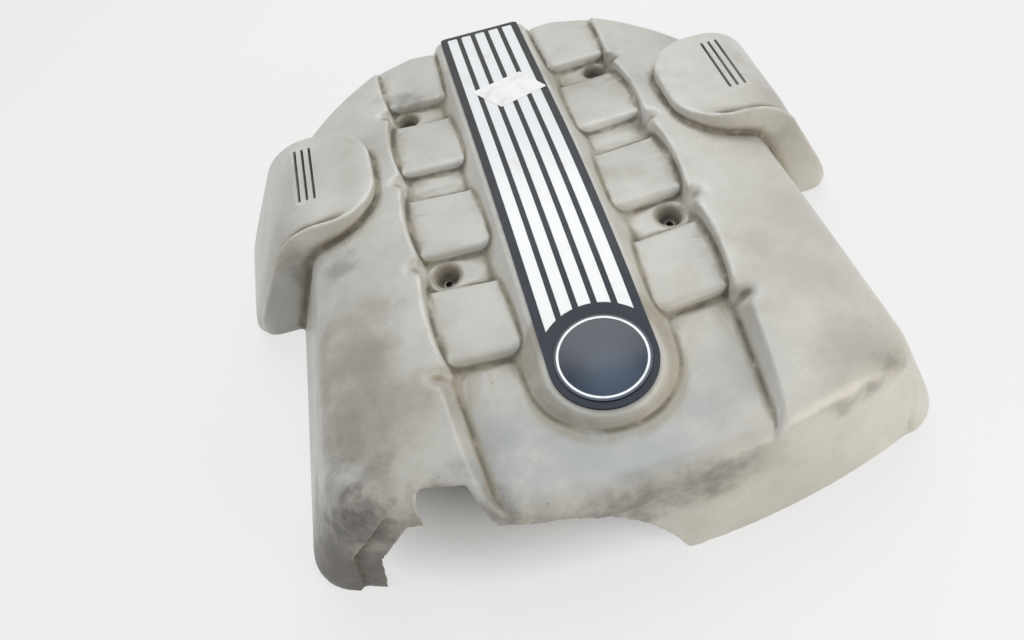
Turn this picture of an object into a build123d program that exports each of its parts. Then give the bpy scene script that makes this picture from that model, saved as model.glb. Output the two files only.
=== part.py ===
from build123d import *

import os
from math import cos, radians, sin, sqrt, tan

os.makedirs("parts", exist_ok=True)

# Moulded cover for a vee engine, standing on its rim as it lies on a bench.
# Millimetres. +X is to the right seen from the front, +Y to the rear, +Z up.
# The origin is on the bench, under the middle of the cover.
# Places along the cover are given as distances behind the badge centre.

# Moulded shell
LENGTH = 588.0
FRONT_WIDTH = 534.0
REAR_WIDTH = 477.0
WALL = 3.0
FRONT_DRAFT = 11.0
SIDE_DRAFT = 23.0
REAR_DRAFT = 3.0
FRONT_ARC_R = 650.0
REAR_ARC_R = 300.0
FRONT_CORNER_R = 42.0
TOP_EDGE_R = 24.0
REAR_EDGE_R = 12.0
ABOVE = 160.0

# Trim line, seen from the side: a rising flat, an arc and a falling flat
FRONT_TO_BADGE = 116.0
BADGE_HEIGHT = 119.0
NOSE_RISE = 5.0
REAR_FALL = 7.6
CROWN_R = 1030.0
FLAT_BEHIND_BADGE = 50.0

# Outer humps over the cylinder heads
HUMP_STATIONS = (-140, -90, -40, 40, 160, 280, 400, 500)
RIDGE_X = 118.0
RIDGE_DROP = 4.0
SHOULDER_X = 190.0
SHOULDER_DROP_FRONT = 3.0
SHOULDER_DROP_REAR = 18.0
EAVES_X = 280.0
EAVES_DROP_FRONT = 58.0
EAVES_DROP_REAR = 75.0
FRONT_DROOP = 6.0

# Pads along the middle, one above each inlet runner, with valleys between them
PAD_FEET = (38.0, 147.0, 257.5, 371.0)
PAD_TAILS = (119.0, 229.5, 350.0, 468.0)
PAD_DROP = 9.0
PAD_SWELL = 2.0
PAD_STEP = 3.0
PAD_DRAFT = 18.0
PAD_EDGE_R = 5.0
PAD_INNER_X = 48.0
PAD_CORNER_R = 16.0
LAST_TAIL_DROP = 4.0
VALLEY_DROP = 17.5
RUNNER_SKEW = 0.13
RUNNER_FALL = 0.06
ROW_WIDTH = 140.0
ROW_TAIL = 40.0

# Scalloped inner walls of the humps, with a dip in their edge beside each valley
CUSP_X = 110.0
CUSP_LEAD = 8.0
BULGE_X = 116.0
SCALLOP_FOOT_Z = 78.0
SCALLOP_DRAFT = 8.0
DIP_R = 6.5
DIP_LEAD = 12.0
DIP_RISE = 40.0
DIP_LENGTH = 45.0

# Front plateau round the nose, between leaning side bands
PLATEAU_Z = 101.0
PLATEAU_CROWN_R = 1250.0
PLATEAU_EDGE_R = 18.0
BAND_FRONT_X = 106.0
BAND_FRONT_DRAFT = 45.0
BAND_REAR_X = 117.0
BAND_REAR_DRAFT = 22.0

# Plinth under the trim
PLINTH_TOP_HALF = 46.0
PLINTH_FOOT_HALF = 65.0
PLINTH_DEPTH = 21.0
PLINTH_KNEE = 0.42

# Rear ears: flat drums with flared outer skirts
EAR_INNER_X = 140.0
EAR_OUTER_X = 298.0
EAR_FRONT = 203.0
EAR_REAR = 333.0
EAR_TOP_Z = 130.0
EAR_FALL = 0.07
EAR_ROLL_X = 196.0
EAR_WAIST_X = 246.0
EAR_WAIST_Z = 98.0
EAR_DRUM_R = 48.0
EAR_SKIRT_R = 26.0
SLOTS_AN_EAR = 3
SLOT_X = 202.0
SLOT_PITCH = 7.0
SLOT_MIDDLE = 278.0
SLOT_LENGTH = 76.0
SLOT_WIDTH = 2.6

# Openings under the front and rear edges, and the ledge above the lower front wall
ARCH_FOOT_X = -228.0
ARCH_LEG = (-222.0, 46.0)
ARCH_HIP = (-184.0, 100.0)
ARCH_GAP = (-160.0, 103.0)
ARCH_GAP_TOP = (-138.0, 112.0)
ARCH_CHIN = (-112.0, 90.0)
ARCH_CHIN_FOOT = (-108.0, 79.0)
ARCH_NOSE = (-62.0, 79.0)
ARCH_BEND = (-13.0, 57.0)
ARCH_RIGHT_X = 28.0
ARCH_DEPTH = 20.0
FLANGE = 14.0
LIP_WIDTH = 21.0
LIP_BACK = 5.0
LEDGE = ((-118.0, 92.0), (8.0, 75.0), (118.0, 97.0), (185.0, 98.0), (232.0, 60.0))
LEDGE_STEP = 2.0
REAR_ARCH_HALF = 160.0
REAR_ARCH_Z = 45.0
REAR_ARCH_R = 30.0

# Screw wells in two of the valleys on each side
WELL_X = 98.6
WELL_FRONT = 131.0
WELL_REAR = 361.0
WELL_FLOOR_R = 7.5
WELL_DRAFT = 16.0
WELL_DEPTH = 14.0
WELL_WALL = 2.5
BUSH_HOLE_R = 5.5

# Trim, its light bars and the badge
TRIM_WIDTH = 85.0
TRIM_THICK = 3.0
TRIM_REAR = 467.0
TRIM_CORNER_R = 5.0
BARS = 5
BAR_PITCH = 15.1
BAR_WIDTH = 10.2
BAR_DEPTH = 1.0
BAR_PROUD = 0.3
BAR_END = 461.0
BAR_CORNER_R = 1.5
BAR_TO_BADGE_R = 49.0
BADGE_R = 37.0
BADGE_SEAT = 1.2
BADGE_RIM = 1.2
BADGE_DOME = 1.6
RING_OUTER_R = 35.2
RING_WIDTH = 1.8
RING_DEPTH = 0.8
RING_PROUD = 0.2

# Rubber bushes and their steel sleeves
BUSH_FLANGE_R = 7.0
BUSH_FLANGE_THICK = 2.0
SLEEVE_R = 4.0
SLEEVE_BORE_R = 3.2
SLEEVE_PROUD = 0.6

BADGE_Y = FRONT_TO_BADGE - LENGTH / 2


def station(behind):
    """Frame coordinate of a place behind the badge centre."""
    return BADGE_Y + behind


def crown(behind):
    """Height of the trim line at a place behind the badge centre."""
    rise, fall = radians(NOSE_RISE), radians(REAR_FALL)
    centre = FLAT_BEHIND_BADGE + CROWN_R * sin(rise)
    centre_z = BADGE_HEIGHT + FLAT_BEHIND_BADGE * tan(rise) - CROWN_R * cos(rise)
    arc_end = centre + CROWN_R * sin(fall)
    if behind < FLAT_BEHIND_BADGE:
        return BADGE_HEIGHT + behind * tan(rise)
    if behind < arc_end:
        return centre_z + sqrt(CROWN_R**2 - (behind - centre) ** 2)
    return centre_z + CROWN_R * cos(fall) - (behind - arc_end) * tan(fall)


def crown_point(behind, drop):
    """Side-view point a fixed drop below the trim line."""
    return (station(behind), crown(behind) - drop)


def draw_crown(start, end, drop):
    """Draw the trim line between two places, a fixed drop below it, in the open line block."""
    rise, fall = radians(NOSE_RISE), radians(REAR_FALL)
    arc_end = FLAT_BEHIND_BADGE + CROWN_R * (sin(rise) + sin(fall))
    middle = (FLAT_BEHIND_BADGE + arc_end) / 2
    Line(crown_point(start, drop), crown_point(FLAT_BEHIND_BADGE, drop))
    ThreePointArc(
        crown_point(FLAT_BEHIND_BADGE, drop),
        crown_point(middle, drop),
        crown_point(arc_end, drop),
    )
    Line(crown_point(arc_end, drop), crown_point(end, drop))


def badge_plane(drop):
    """Plane of the badge, tipped forward with the trim, a fixed drop below its face."""
    return Plane(
        origin=(0, BADGE_Y, BADGE_HEIGHT - drop),
        x_dir=(1, 0, 0),
        z_dir=(0, -sin(radians(NOSE_RISE)), cos(radians(NOSE_RISE))),
    )


def outline(z, inset):
    """Plan outline of the shell at one height: front arc, slanting sides and rear arc."""
    slope = inset + z * tan(radians(SIDE_DRAFT))
    wide = FRONT_WIDTH / 2 - slope
    narrow = REAR_WIDTH / 2 - slope
    front = -LENGTH / 2 - LEDGE_STEP + inset + z * tan(radians(FRONT_DRAFT))
    rear = LENGTH / 2 - inset + (REAR_ARCH_Z - z) * tan(radians(REAR_DRAFT))
    front_side = front + FRONT_ARC_R - sqrt(FRONT_ARC_R**2 - wide**2)
    rear_side = rear - REAR_ARC_R + sqrt(REAR_ARC_R**2 - narrow**2)
    with BuildSketch(Plane.XY.offset(z)) as plan:
        with BuildLine():
            ThreePointArc((-wide, front_side), (0, front), (wide, front_side))
            Line((wide, front_side), (narrow, rear_side))
            ThreePointArc((narrow, rear_side), (0, rear), (-narrow, rear_side))
            Line((-narrow, rear_side), (-wide, front_side))
        make_face()
        fillet(plan.vertices().group_by(Axis.Y)[0], FRONT_CORNER_R - inset)
    return plan.sketch


def walls(inset):
    """Upright walls of the shell as a filled body, each side with its own draft."""
    below = WALL if inset else 0
    with BuildPart() as prism:
        loft([outline(-below, inset), outline(ABOVE, inset)], ruled=True)
    return prism.part


def blend(front_value, rear_value, part_way):
    """Value between the front and the rear of the humps, held at both ends."""
    return front_value + (rear_value - front_value) * min(max(part_way, 0), 1)


def hump_section(behind, inset):
    """Cross section of the plain body: a flat middle, round shoulders and falling eaves."""
    part_way = (behind + FRONT_TO_BADGE) / (EAR_FRONT + FRONT_TO_BADGE)
    droop = FRONT_DROOP * (min(behind, 0) / FRONT_TO_BADGE) ** 2
    ridge = crown(behind) - RIDGE_DROP - droop - inset
    shoulder = ridge - blend(SHOULDER_DROP_FRONT, SHOULDER_DROP_REAR, part_way)
    eaves = ridge - blend(EAVES_DROP_FRONT, EAVES_DROP_REAR, part_way)
    with BuildSketch(Plane.XZ.offset(-station(behind))) as section:
        with BuildLine():
            Spline(
                (-EAVES_X, eaves),
                (-SHOULDER_X, shoulder),
                (-RIDGE_X, ridge),
                (RIDGE_X, ridge),
                (SHOULDER_X, shoulder),
                (EAVES_X, eaves),
            )
            Polyline(
                (EAVES_X, eaves), (EAVES_X, -2 * WALL), (-EAVES_X, -2 * WALL), (-EAVES_X, eaves)
            )
        make_face()
    return section.sketch


def hump(inset):
    """The plain arched body, before the middle is sunk into it."""
    with BuildPart() as body:
        loft([hump_section(behind, inset) for behind in HUMP_STATIONS])
        add(walls(inset), mode=Mode.INTERSECT)
        roof = body.faces().sort_by(Axis.Z)[-1]
        fillet(roof.edges().sort_by(Axis.Y)[0], TOP_EDGE_R - inset)
        roof = body.faces().sort_by(Axis.Z)[-1]
        fillet(roof.edges().sort_by(Axis.Y)[-1], REAR_EDGE_R - inset)
    return body.part


def valley_level(behind, x):
    """Height of the valley floors at a place behind the badge and beside the middle."""
    return crown(behind - RUNNER_SKEW * x) - VALLEY_DROP - RUNNER_FALL * x


def at_middle(behind):
    """Place on the middle line that the skew carries to a place given at the cusps."""
    return behind - RUNNER_SKEW * CUSP_X


def valley_bed(inset):
    """Filled body under the valley floors, run outwards and down from the middle."""
    start = at_middle(PAD_FEET[0]) + PAD_CORNER_R + inset
    end = PAD_TAILS[-1] + ROW_TAIL
    with BuildPart() as bed:
        with BuildSketch(Plane.YZ):
            with BuildLine():
                draw_crown(start, end, VALLEY_DROP + inset)
                Polyline(
                    crown_point(end, VALLEY_DROP + inset),
                    (station(end), -2 * WALL),
                    (station(start), -2 * WALL),
                    crown_point(start, VALLEY_DROP + inset),
                )
            make_face()
        extrude(amount=ROW_WIDTH, dir=(1, RUNNER_SKEW, -RUNNER_FALL))
    return bed.part


def pad_top(foot, tail, tail_drop, inset):
    """Filled body under the swelling top of one pad, run outwards and down."""
    near = at_middle(foot)
    far = at_middle(tail)
    with BuildPart() as below:
        with BuildSketch(Plane.YZ):
            with BuildLine():
                ThreePointArc(
                    crown_point(near, PAD_DROP + inset),
                    crown_point((near + far) / 2, (PAD_DROP + tail_drop) / 2 - PAD_SWELL + inset),
                    crown_point(far, tail_drop + inset),
                )
                Polyline(
                    crown_point(far, tail_drop + inset),
                    (station(far), -2 * WALL),
                    (station(near), -2 * WALL),
                    crown_point(near, PAD_DROP + inset),
                )
            make_face()
        extrude(amount=ROW_WIDTH, dir=(1, RUNNER_SKEW, -RUNNER_FALL))
    return below.part


def pad(foot, tail, tail_drop, inset):
    """One pad as a filled block with drafted walls, a round inner corner and a rolled front edge."""
    near = station(at_middle(foot)) + inset
    far = station(at_middle(tail)) - inset
    inner = PAD_INNER_X + inset
    outer = ROW_WIDTH - inset
    base = min(valley_level(foot, ROW_WIDTH), valley_level(tail, ROW_WIDTH))
    with BuildPart() as block:
        with BuildSketch(Plane.XY.offset(base)) as plan:
            with BuildLine():
                Polyline(
                    (inner, near + RUNNER_SKEW * inner),
                    (outer, near + RUNNER_SKEW * outer),
                    (outer, far + RUNNER_SKEW * outer),
                    (inner, far + RUNNER_SKEW * inner),
                    close=True,
                )
            make_face()
            fillet(plan.vertices().sort_by(Axis.Y)[0], PAD_CORNER_R - inset)
        extrude(amount=ABOVE - base, taper=PAD_DRAFT)
        extrude(plan.sketch, amount=-base)
        add(pad_top(foot, tail, tail_drop, inset), mode=Mode.INTERSECT)
        top = block.faces().sort_by(Axis.Z)[-1]
        fillet(top.edges().sort_by(Axis.Y)[:2], PAD_EDGE_R - inset)
    return block.part


def runner_row(inset):
    """Right-hand row of pads and valleys as one filled body."""
    tail_drops = [VALLEY_DROP - PAD_STEP] * (len(PAD_FEET) - 1) + [LAST_TAIL_DROP]
    with BuildPart() as row:
        add(valley_bed(inset))
        for foot, tail, tail_drop in zip(PAD_FEET, PAD_TAILS, tail_drops):
            add(pad(foot, tail, tail_drop, inset))
    return row.part


def nose(inset):
    """Filled body under the front plateau, crowned across, with a rolled front edge."""
    half = ROW_WIDTH
    level = PLATEAU_Z - inset
    edge_z = level - PLATEAU_CROWN_R + sqrt(PLATEAU_CROWN_R**2 - half**2)
    end = station(at_middle(PAD_FEET[0])) + 2 * PAD_CORNER_R + inset
    with BuildPart() as front:
        with BuildSketch(Plane.XZ.offset(LENGTH)):
            with BuildLine():
                ThreePointArc((-half, edge_z), (0, level), (half, edge_z))
                Polyline((half, edge_z), (half, -2 * WALL), (-half, -2 * WALL), (-half, edge_z))
            make_face()
        extrude(amount=-LENGTH)
        add(walls(inset), mode=Mode.INTERSECT)
        top = front.faces().sort_by(Axis.Z)[-1]
        fillet(top.edges().sort_by(Axis.Y)[0], PLATEAU_EDGE_R - inset)
        split(bisect_by=Plane.XZ.offset(-end), keep=Keep.TOP)
    return front.part


def bays(inset):
    """Region over the pads and valleys, right half: a shallow scallop for each pad."""
    cusp = CUSP_X + inset
    bulge = BULGE_X + inset
    ends = [station(foot - CUSP_LEAD) for foot in PAD_FEET] + [station(PAD_TAILS[-1] + ROW_TAIL)]
    with BuildPart() as region:
        with BuildSketch(Plane.XY.offset(SCALLOP_FOOT_Z)):
            with BuildLine():
                Polyline((cusp, ends[-1]), (0, ends[-1]), (0, ends[0]), (cusp, ends[0]))
                for near, far in zip(ends, ends[1:]):
                    ThreePointArc((cusp, near), (bulge, (near + far) / 2), (cusp, far))
            make_face()
        extrude(amount=ABOVE - SCALLOP_FOOT_Z, taper=-SCALLOP_DRAFT)
    return region.part


def band_plan(z, inset):
    """Plan of the region over the plateau, right half, at one height."""
    front_x = BAND_FRONT_X + (z - PLATEAU_Z) * tan(radians(BAND_FRONT_DRAFT))
    rear_x = BAND_REAR_X + (z - PLATEAU_Z) * tan(radians(BAND_REAR_DRAFT))
    front_x += inset / cos(radians(BAND_FRONT_DRAFT))
    rear_x += inset / cos(radians(BAND_REAR_DRAFT))
    front = -LENGTH / 2
    rear = station(PAD_FEET[0] - CUSP_LEAD) + inset
    with BuildSketch(Plane.XY.offset(z)) as plan:
        with BuildLine():
            Polyline((0, front), (front_x, front), (rear_x, rear), (0, rear), close=True)
        make_face()
    return plan.sketch


def dips(inset):
    """Round dips that run from the valleys' outer ends up over the humps' inner edges."""
    with BuildPart() as cuts:
        for foot in PAD_FEET:
            behind = foot - DIP_LEAD
            rise = radians(DIP_RISE)
            floor = valley_level(behind, CUSP_X)
            start = Plane(
                origin=(CUSP_X, station(behind), floor + DIP_R / cos(rise)),
                x_dir=(0, 1, 0),
                z_dir=(cos(rise), 0, sin(rise)),
            )
            with BuildSketch(start):
                Circle(DIP_R + inset)
                Rectangle(2 * (DIP_R + inset), 2 * DIP_R, align=(Align.CENTER, Align.MIN))
            extrude(amount=DIP_LENGTH)
    return cuts.part


def sunk_middle(inset):
    """Everything that is cut from the plain body between the two outer humps."""
    with BuildPart() as sunk:
        add(bays(inset))
        loft([band_plan(SCALLOP_FOOT_Z, inset), band_plan(ABOVE, inset)], ruled=True)
        add(dips(inset))
        add(runner_row(inset), mode=Mode.SUBTRACT)
        add(nose(inset), mode=Mode.SUBTRACT)
        mirror(about=Plane.YZ)
    return sunk.part


def plinth_section(inset, halves):
    """Section of the plinth at the badge: one half for the collar, two for the run behind it."""
    top = PLINTH_TOP_HALF - inset
    foot = PLINTH_FOOT_HALF - inset
    knee = top + (foot - top) * PLINTH_KNEE
    depth = PLINTH_DEPTH
    seat = badge_plane(TRIM_THICK + inset)
    with BuildSketch(Plane(origin=seat.origin, x_dir=(1, 0, 0), z_dir=-seat.y_dir)) as section:
        with BuildLine():
            Polyline((foot, -depth), (foot, -2 * depth), (0, -2 * depth), (0, 0), (top, 0))
            ThreePointArc((top, 0), (knee, -depth / 2), (foot, -depth))
        make_face()
        if halves == 2:
            mirror(about=Plane.YZ)
    return section.sketch


def plinth(inset):
    """Long raised seat of the trim, with a sloping collar round its front end."""
    seat = badge_plane(TRIM_THICK + inset)
    with BuildLine(Plane.YZ) as path:
        draw_crown(0, TRIM_REAR - inset, TRIM_THICK + inset)
    with BuildPart() as raised:
        sweep(plinth_section(inset, 2), path=path.wire())
        revolve(plinth_section(inset, 1), axis=Axis(seat.origin, seat.z_dir))
    return raised.part


def ear(inset):
    """Right-hand ear: a flat-topped drum whose outer side flares down to the bench."""
    inner = EAR_INNER_X + inset
    front = station(EAR_FRONT) + inset
    rear = station(EAR_REAR) - inset
    outer = EAR_OUTER_X - inset
    top = EAR_TOP_Z - inset
    below = WALL if inset else 0
    with BuildPart() as drum:
        with BuildSketch(Plane.XZ.offset(-front)):
            with BuildLine():
                Line((inner, top), (EAR_ROLL_X - inset, top))
                TangentArc(
                    (EAR_ROLL_X - inset, top), (EAR_WAIST_X - inset, EAR_WAIST_Z), tangent=(1, 0)
                )
                Polyline(
                    (EAR_WAIST_X - inset, EAR_WAIST_Z),
                    (outer, 0),
                    (outer, -2 * WALL),
                    (inner, -2 * WALL),
                    (inner, top),
                )
            make_face()
        extrude(amount=rear - front, dir=(0, 1, -EAR_FALL))
        with BuildSketch(Plane.XY.offset(-below)) as plan:
            with Locations(((inner + outer) / 2, (front + rear) / 2)):
                Rectangle(outer - inner, rear - front)
            fillet(plan.vertices().group_by(Axis.X)[0], EAR_DRUM_R - inset)
            fillet(plan.vertices().group_by(Axis.X)[-1], EAR_SKIRT_R - inset)
        extrude(amount=ABOVE, mode=Mode.INTERSECT)
    return drum.part


def recess(inset):
    """Skin taken off the lower front wall, so that a ledge runs under the rolled front edge."""
    spread = 2 / (len(LEDGE) - 1)
    ledge = [(x + inset * (i * spread - 1), z + inset) for i, (x, z) in enumerate(LEDGE)]
    with BuildPart() as skin:
        with BuildSketch(Plane.XZ.offset(LENGTH)):
            with BuildLine():
                Spline(*ledge)
                Polyline(ledge[-1], (ledge[-1][0], -2 * WALL), (ledge[0][0], -2 * WALL), ledge[0])
            make_face()
        extrude(amount=-(LENGTH + BADGE_Y))
        add(walls(inset).moved(Location((0, LEDGE_STEP, 0))), mode=Mode.SUBTRACT)
    return skin.part


def form(inset):
    """The whole moulding as a filled body, drawn in by inset all round."""
    with BuildPart() as filled:
        add(hump(inset))
        add(sunk_middle(inset), mode=Mode.SUBTRACT)
        add(ear(inset))
        mirror(ear(inset), about=Plane.YZ)
        add(plinth(inset))
        add(recess(inset), mode=Mode.SUBTRACT)
    return filled.part


def arch_outline(grow):
    """Front view of the opening between the left leg and the right half of the front wall."""
    below = -2 * (WALL + LIP_WIDTH)
    with BuildSketch(Plane.XZ.offset(LENGTH)) as opening:
        with BuildLine():
            Line((ARCH_RIGHT_X, below), (ARCH_RIGHT_X, 0))
            ThreePointArc((ARCH_RIGHT_X, 0), ARCH_BEND, ARCH_NOSE)
            Polyline(ARCH_NOSE, ARCH_CHIN_FOOT, ARCH_CHIN)
            ThreePointArc(ARCH_CHIN, ARCH_GAP_TOP, ARCH_GAP)
            Polyline(ARCH_GAP, ARCH_HIP, ARCH_LEG, (ARCH_FOOT_X, 0), (ARCH_FOOT_X, below))
            Line((ARCH_FOOT_X, below), (ARCH_RIGHT_X, below))
        make_face()
        if grow:
            offset(amount=grow, mode=Mode.REPLACE)
    return opening.sketch


def arch_cut():
    """Room of the front opening, down to a fixed depth behind the front wall."""
    with BuildPart() as cut:
        extrude(arch_outline(0), amount=-(LENGTH + BADGE_Y))
        add(walls(0).moved(Location((0, ARCH_DEPTH, 0))), mode=Mode.SUBTRACT)
    return cut.part


def well_places():
    """Centres of the four screw wells on their floors: front pair, then rear pair."""
    places = []
    for behind in (WELL_FRONT, WELL_REAR):
        for x in (-WELL_X, WELL_X):
            places.append((x, station(behind), valley_level(behind, WELL_X) - WELL_DEPTH))
    return places


def flange(filled):
    """Return flange round the front opening, a strip running back from the front wall."""
    with BuildPart() as strip:
        extrude(arch_outline(WALL), amount=-LENGTH)
        extrude(arch_outline(0), amount=-LENGTH, mode=Mode.SUBTRACT)
        add(filled, mode=Mode.INTERSECT)
        add(walls(0).moved(Location((0, FLANGE, 0))), mode=Mode.SUBTRACT)
    return strip.part


def leg_lip(filled):
    """Lip along the left leg's inner edge, set back behind the front wall."""
    with BuildPart() as lip:
        extrude(arch_outline(WALL), amount=-LENGTH)
        extrude(arch_outline(-LIP_WIDTH), amount=-LENGTH, mode=Mode.SUBTRACT)
        add(filled, mode=Mode.INTERSECT)
        add(walls(0).moved(Location((0, LIP_BACK, 0))), mode=Mode.INTERSECT)
        add(walls(0).moved(Location((0, LIP_BACK + WALL, 0))), mode=Mode.SUBTRACT)
        split(bisect_by=Plane.YZ.offset(ARCH_GAP[0]), keep=Keep.BOTTOM)
    return lip.part


def band(start, end, top, bottom, width):
    """Strip that follows the trim line between two drops, centred across the cover."""
    with BuildPart() as strip:
        with BuildSketch(Plane.YZ):
            with BuildLine():
                draw_crown(start, end, top)
                draw_crown(start, end, bottom)
                Line(crown_point(start, top), crown_point(start, bottom))
                Line(crown_point(end, top), crown_point(end, bottom))
            make_face()
        extrude(amount=width / 2, both=True)
    return strip.part


# Cover: one hollow moulding with a front arch, a raised rear edge, ear slots and screw wells
moulding = form(0)
with BuildPart() as cover_body:
    add(moulding)
    add(form(WALL), mode=Mode.SUBTRACT)
    add(arch_cut(), mode=Mode.SUBTRACT)
    add(flange(moulding))
    add(leg_lip(moulding))
    with BuildSketch(Plane.XZ.offset(-LENGTH)) as rear_arch:
        Rectangle(2 * REAR_ARCH_HALF, 2 * REAR_ARCH_Z)
        fillet(rear_arch.vertices(), REAR_ARCH_R)
    extrude(amount=LENGTH - station(EAR_REAR), mode=Mode.SUBTRACT)
    for x, y, z in well_places():
        with BuildSketch(Plane((x, y, z - WELL_WALL))):
            Circle(WELL_FLOOR_R + WELL_WALL)
        extrude(amount=WELL_DEPTH, taper=-WELL_DRAFT)
        with BuildSketch(Plane((x, y, z))):
            Circle(WELL_FLOOR_R)
        extrude(amount=WELL_DEPTH + BUSH_FLANGE_R, taper=-WELL_DRAFT, mode=Mode.SUBTRACT)
        with BuildSketch(Plane((x, y, z))):
            Circle(BUSH_HOLE_R)
        extrude(amount=-WELL_DEPTH, mode=Mode.SUBTRACT)
    for side in (-1, 1):
        with BuildSketch(Plane.XY.offset(BADGE_HEIGHT / 2)):
            with Locations((side * SLOT_X, station(SLOT_MIDDLE))):
                with GridLocations(SLOT_PITCH, 0, SLOTS_AN_EAR, 1):
                    SlotOverall(SLOT_LENGTH, SLOT_WIDTH, rotation=90)
        extrude(amount=BADGE_HEIGHT, mode=Mode.SUBTRACT)

cover_body.part.label = "cover_body"
export_step(cover_body.part, "parts/cover_body.step")

# Trim: a dark strip with a round front end, grooved for the bars and sunk for the badge
with BuildPart() as trim_strip:
    add(band(0, TRIM_REAR, 0, TRIM_THICK, TRIM_WIDTH))
    fillet(trim_strip.edges().filter_by(Axis.Z).group_by(Axis.Y)[-1], TRIM_CORNER_R)
    with BuildSketch(badge_plane(TRIM_THICK)):
        Circle(TRIM_WIDTH / 2)
    extrude(amount=TRIM_THICK)

# Five light bars let into the trim, their front ends cut round the badge
bars = []
for number in range(BARS):
    offset_x = (number - (BARS - 1) / 2) * BAR_PITCH
    with BuildPart() as bar:
        add(band(0, BAR_END, -BAR_PROUD, BAR_DEPTH, BAR_WIDTH).moved(Location((offset_x, 0, 0))))
        with BuildSketch(badge_plane(TRIM_THICK)):
            Circle(BAR_TO_BADGE_R)
        extrude(amount=2 * TRIM_THICK, mode=Mode.SUBTRACT)
        fillet(bar.edges().filter_by(Axis.Z).group_by(Axis.Y)[-1], BAR_CORNER_R)
    bars.append(bar.part)

with BuildPart() as trim_cut:
    add(trim_strip.part)
    for bar_part in bars:
        add(bar_part, mode=Mode.SUBTRACT)
    with BuildSketch(badge_plane(BADGE_SEAT)):
        Circle(BADGE_R)
    extrude(amount=TRIM_THICK, mode=Mode.SUBTRACT)

trim_cut.part.label = "trim_strip"
export_step(trim_cut.part, "parts/trim_strip.step")
for number, bar_part in enumerate(bars):
    bar_part.label = f"stripe_{number + 1}"
    export_step(bar_part, f"parts/stripe_{number + 1}.step")

# Badge: a plain domed disc in the trim's seat, with a thin light ring let into its rim
with BuildPart() as badge_ring:
    with BuildSketch(badge_plane(RING_DEPTH - BADGE_RIM)):
        Circle(RING_OUTER_R)
        Circle(RING_OUTER_R - RING_WIDTH, mode=Mode.SUBTRACT)
    extrude(amount=RING_DEPTH + RING_PROUD)

seat = badge_plane(BADGE_SEAT)
with BuildPart() as badge:
    with BuildSketch(Plane(origin=seat.origin, x_dir=(1, 0, 0), z_dir=-seat.y_dir)):
        with BuildLine():
            Polyline(
                (0, BADGE_SEAT + BADGE_RIM + BADGE_DOME),
                (0, 0),
                (BADGE_R, 0),
                (BADGE_R, BADGE_SEAT + BADGE_RIM),
                (RING_OUTER_R - RING_WIDTH, BADGE_SEAT + BADGE_RIM),
            )
            TangentArc(
                (0, BADGE_SEAT + BADGE_RIM + BADGE_DOME),
                (RING_OUTER_R - RING_WIDTH, BADGE_SEAT + BADGE_RIM),
                tangent=(1, 0),
            )
        make_face()
    revolve(axis=Axis(seat.origin, seat.z_dir))
    add(badge_ring.part, mode=Mode.SUBTRACT)

badge.part.label = "badge"
export_step(badge.part, "parts/badge.step")
badge_ring.part.label = "badge_ring"
export_step(badge_ring.part, "parts/badge_ring.step")

# Rubber bushes clipped into the well floors, and the steel sleeves inside them
corners = ("front_left", "front_right", "rear_left", "rear_right")
for corner, (x, y, z) in zip(corners, well_places()):
    axis = Axis((x, y, z), (0, 0, 1))
    with BuildPart() as bush:
        with BuildSketch(Plane.XZ.offset(-y)):
            with BuildLine():
                Polyline(
                    (x + SLEEVE_R, z + BUSH_FLANGE_THICK),
                    (x + BUSH_FLANGE_R, z + BUSH_FLANGE_THICK),
                    (x + BUSH_FLANGE_R, z),
                    (x + BUSH_HOLE_R, z),
                    (x + BUSH_HOLE_R, z - WELL_WALL),
                    (x + BUSH_FLANGE_R, z - WELL_WALL),
                    (x + BUSH_FLANGE_R, z - WELL_WALL - BUSH_FLANGE_THICK),
                    (x + SLEEVE_R, z - WELL_WALL - BUSH_FLANGE_THICK),
                    close=True,
                )
            make_face()
        revolve(axis=axis)
    bush.part.label = f"bush_{corner}"
    export_step(bush.part, f"parts/bush_{corner}.step")
    with BuildPart() as sleeve:
        with BuildSketch(Plane((x, y, z - WELL_WALL - BUSH_FLANGE_THICK))):
            Circle(SLEEVE_R)
            Circle(SLEEVE_BORE_R, mode=Mode.SUBTRACT)
        extrude(amount=WELL_WALL + 2 * BUSH_FLANGE_THICK + SLEEVE_PROUD)
    sleeve.part.label = f"sleeve_{corner}"
    export_step(sleeve.part, f"parts/sleeve_{corner}.step")
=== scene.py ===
import math

import bpy
import numpy as np
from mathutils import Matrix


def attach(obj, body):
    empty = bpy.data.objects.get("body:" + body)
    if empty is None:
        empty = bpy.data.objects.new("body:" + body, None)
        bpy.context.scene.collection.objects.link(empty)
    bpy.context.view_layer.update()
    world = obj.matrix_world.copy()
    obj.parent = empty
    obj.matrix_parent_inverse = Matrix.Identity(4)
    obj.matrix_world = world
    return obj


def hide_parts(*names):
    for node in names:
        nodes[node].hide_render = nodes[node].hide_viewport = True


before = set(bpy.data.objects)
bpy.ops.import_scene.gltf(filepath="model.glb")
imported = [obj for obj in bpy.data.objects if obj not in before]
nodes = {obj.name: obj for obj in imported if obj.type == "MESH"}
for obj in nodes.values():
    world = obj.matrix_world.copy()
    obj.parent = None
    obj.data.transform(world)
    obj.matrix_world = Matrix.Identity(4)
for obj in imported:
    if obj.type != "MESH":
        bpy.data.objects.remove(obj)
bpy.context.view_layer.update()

# Stage: a pale bench top that runs on past the picture, in a bright room with windows at the rear,
# the front right and the left, and lights above. The bench glows a little to the eye, but not under
# the cover. The camera is held above the cover's front left.
BENCH_WHITE = (0.86, 0.86, 0.86, 1)
BENCH_GLOW = 0.78
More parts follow.
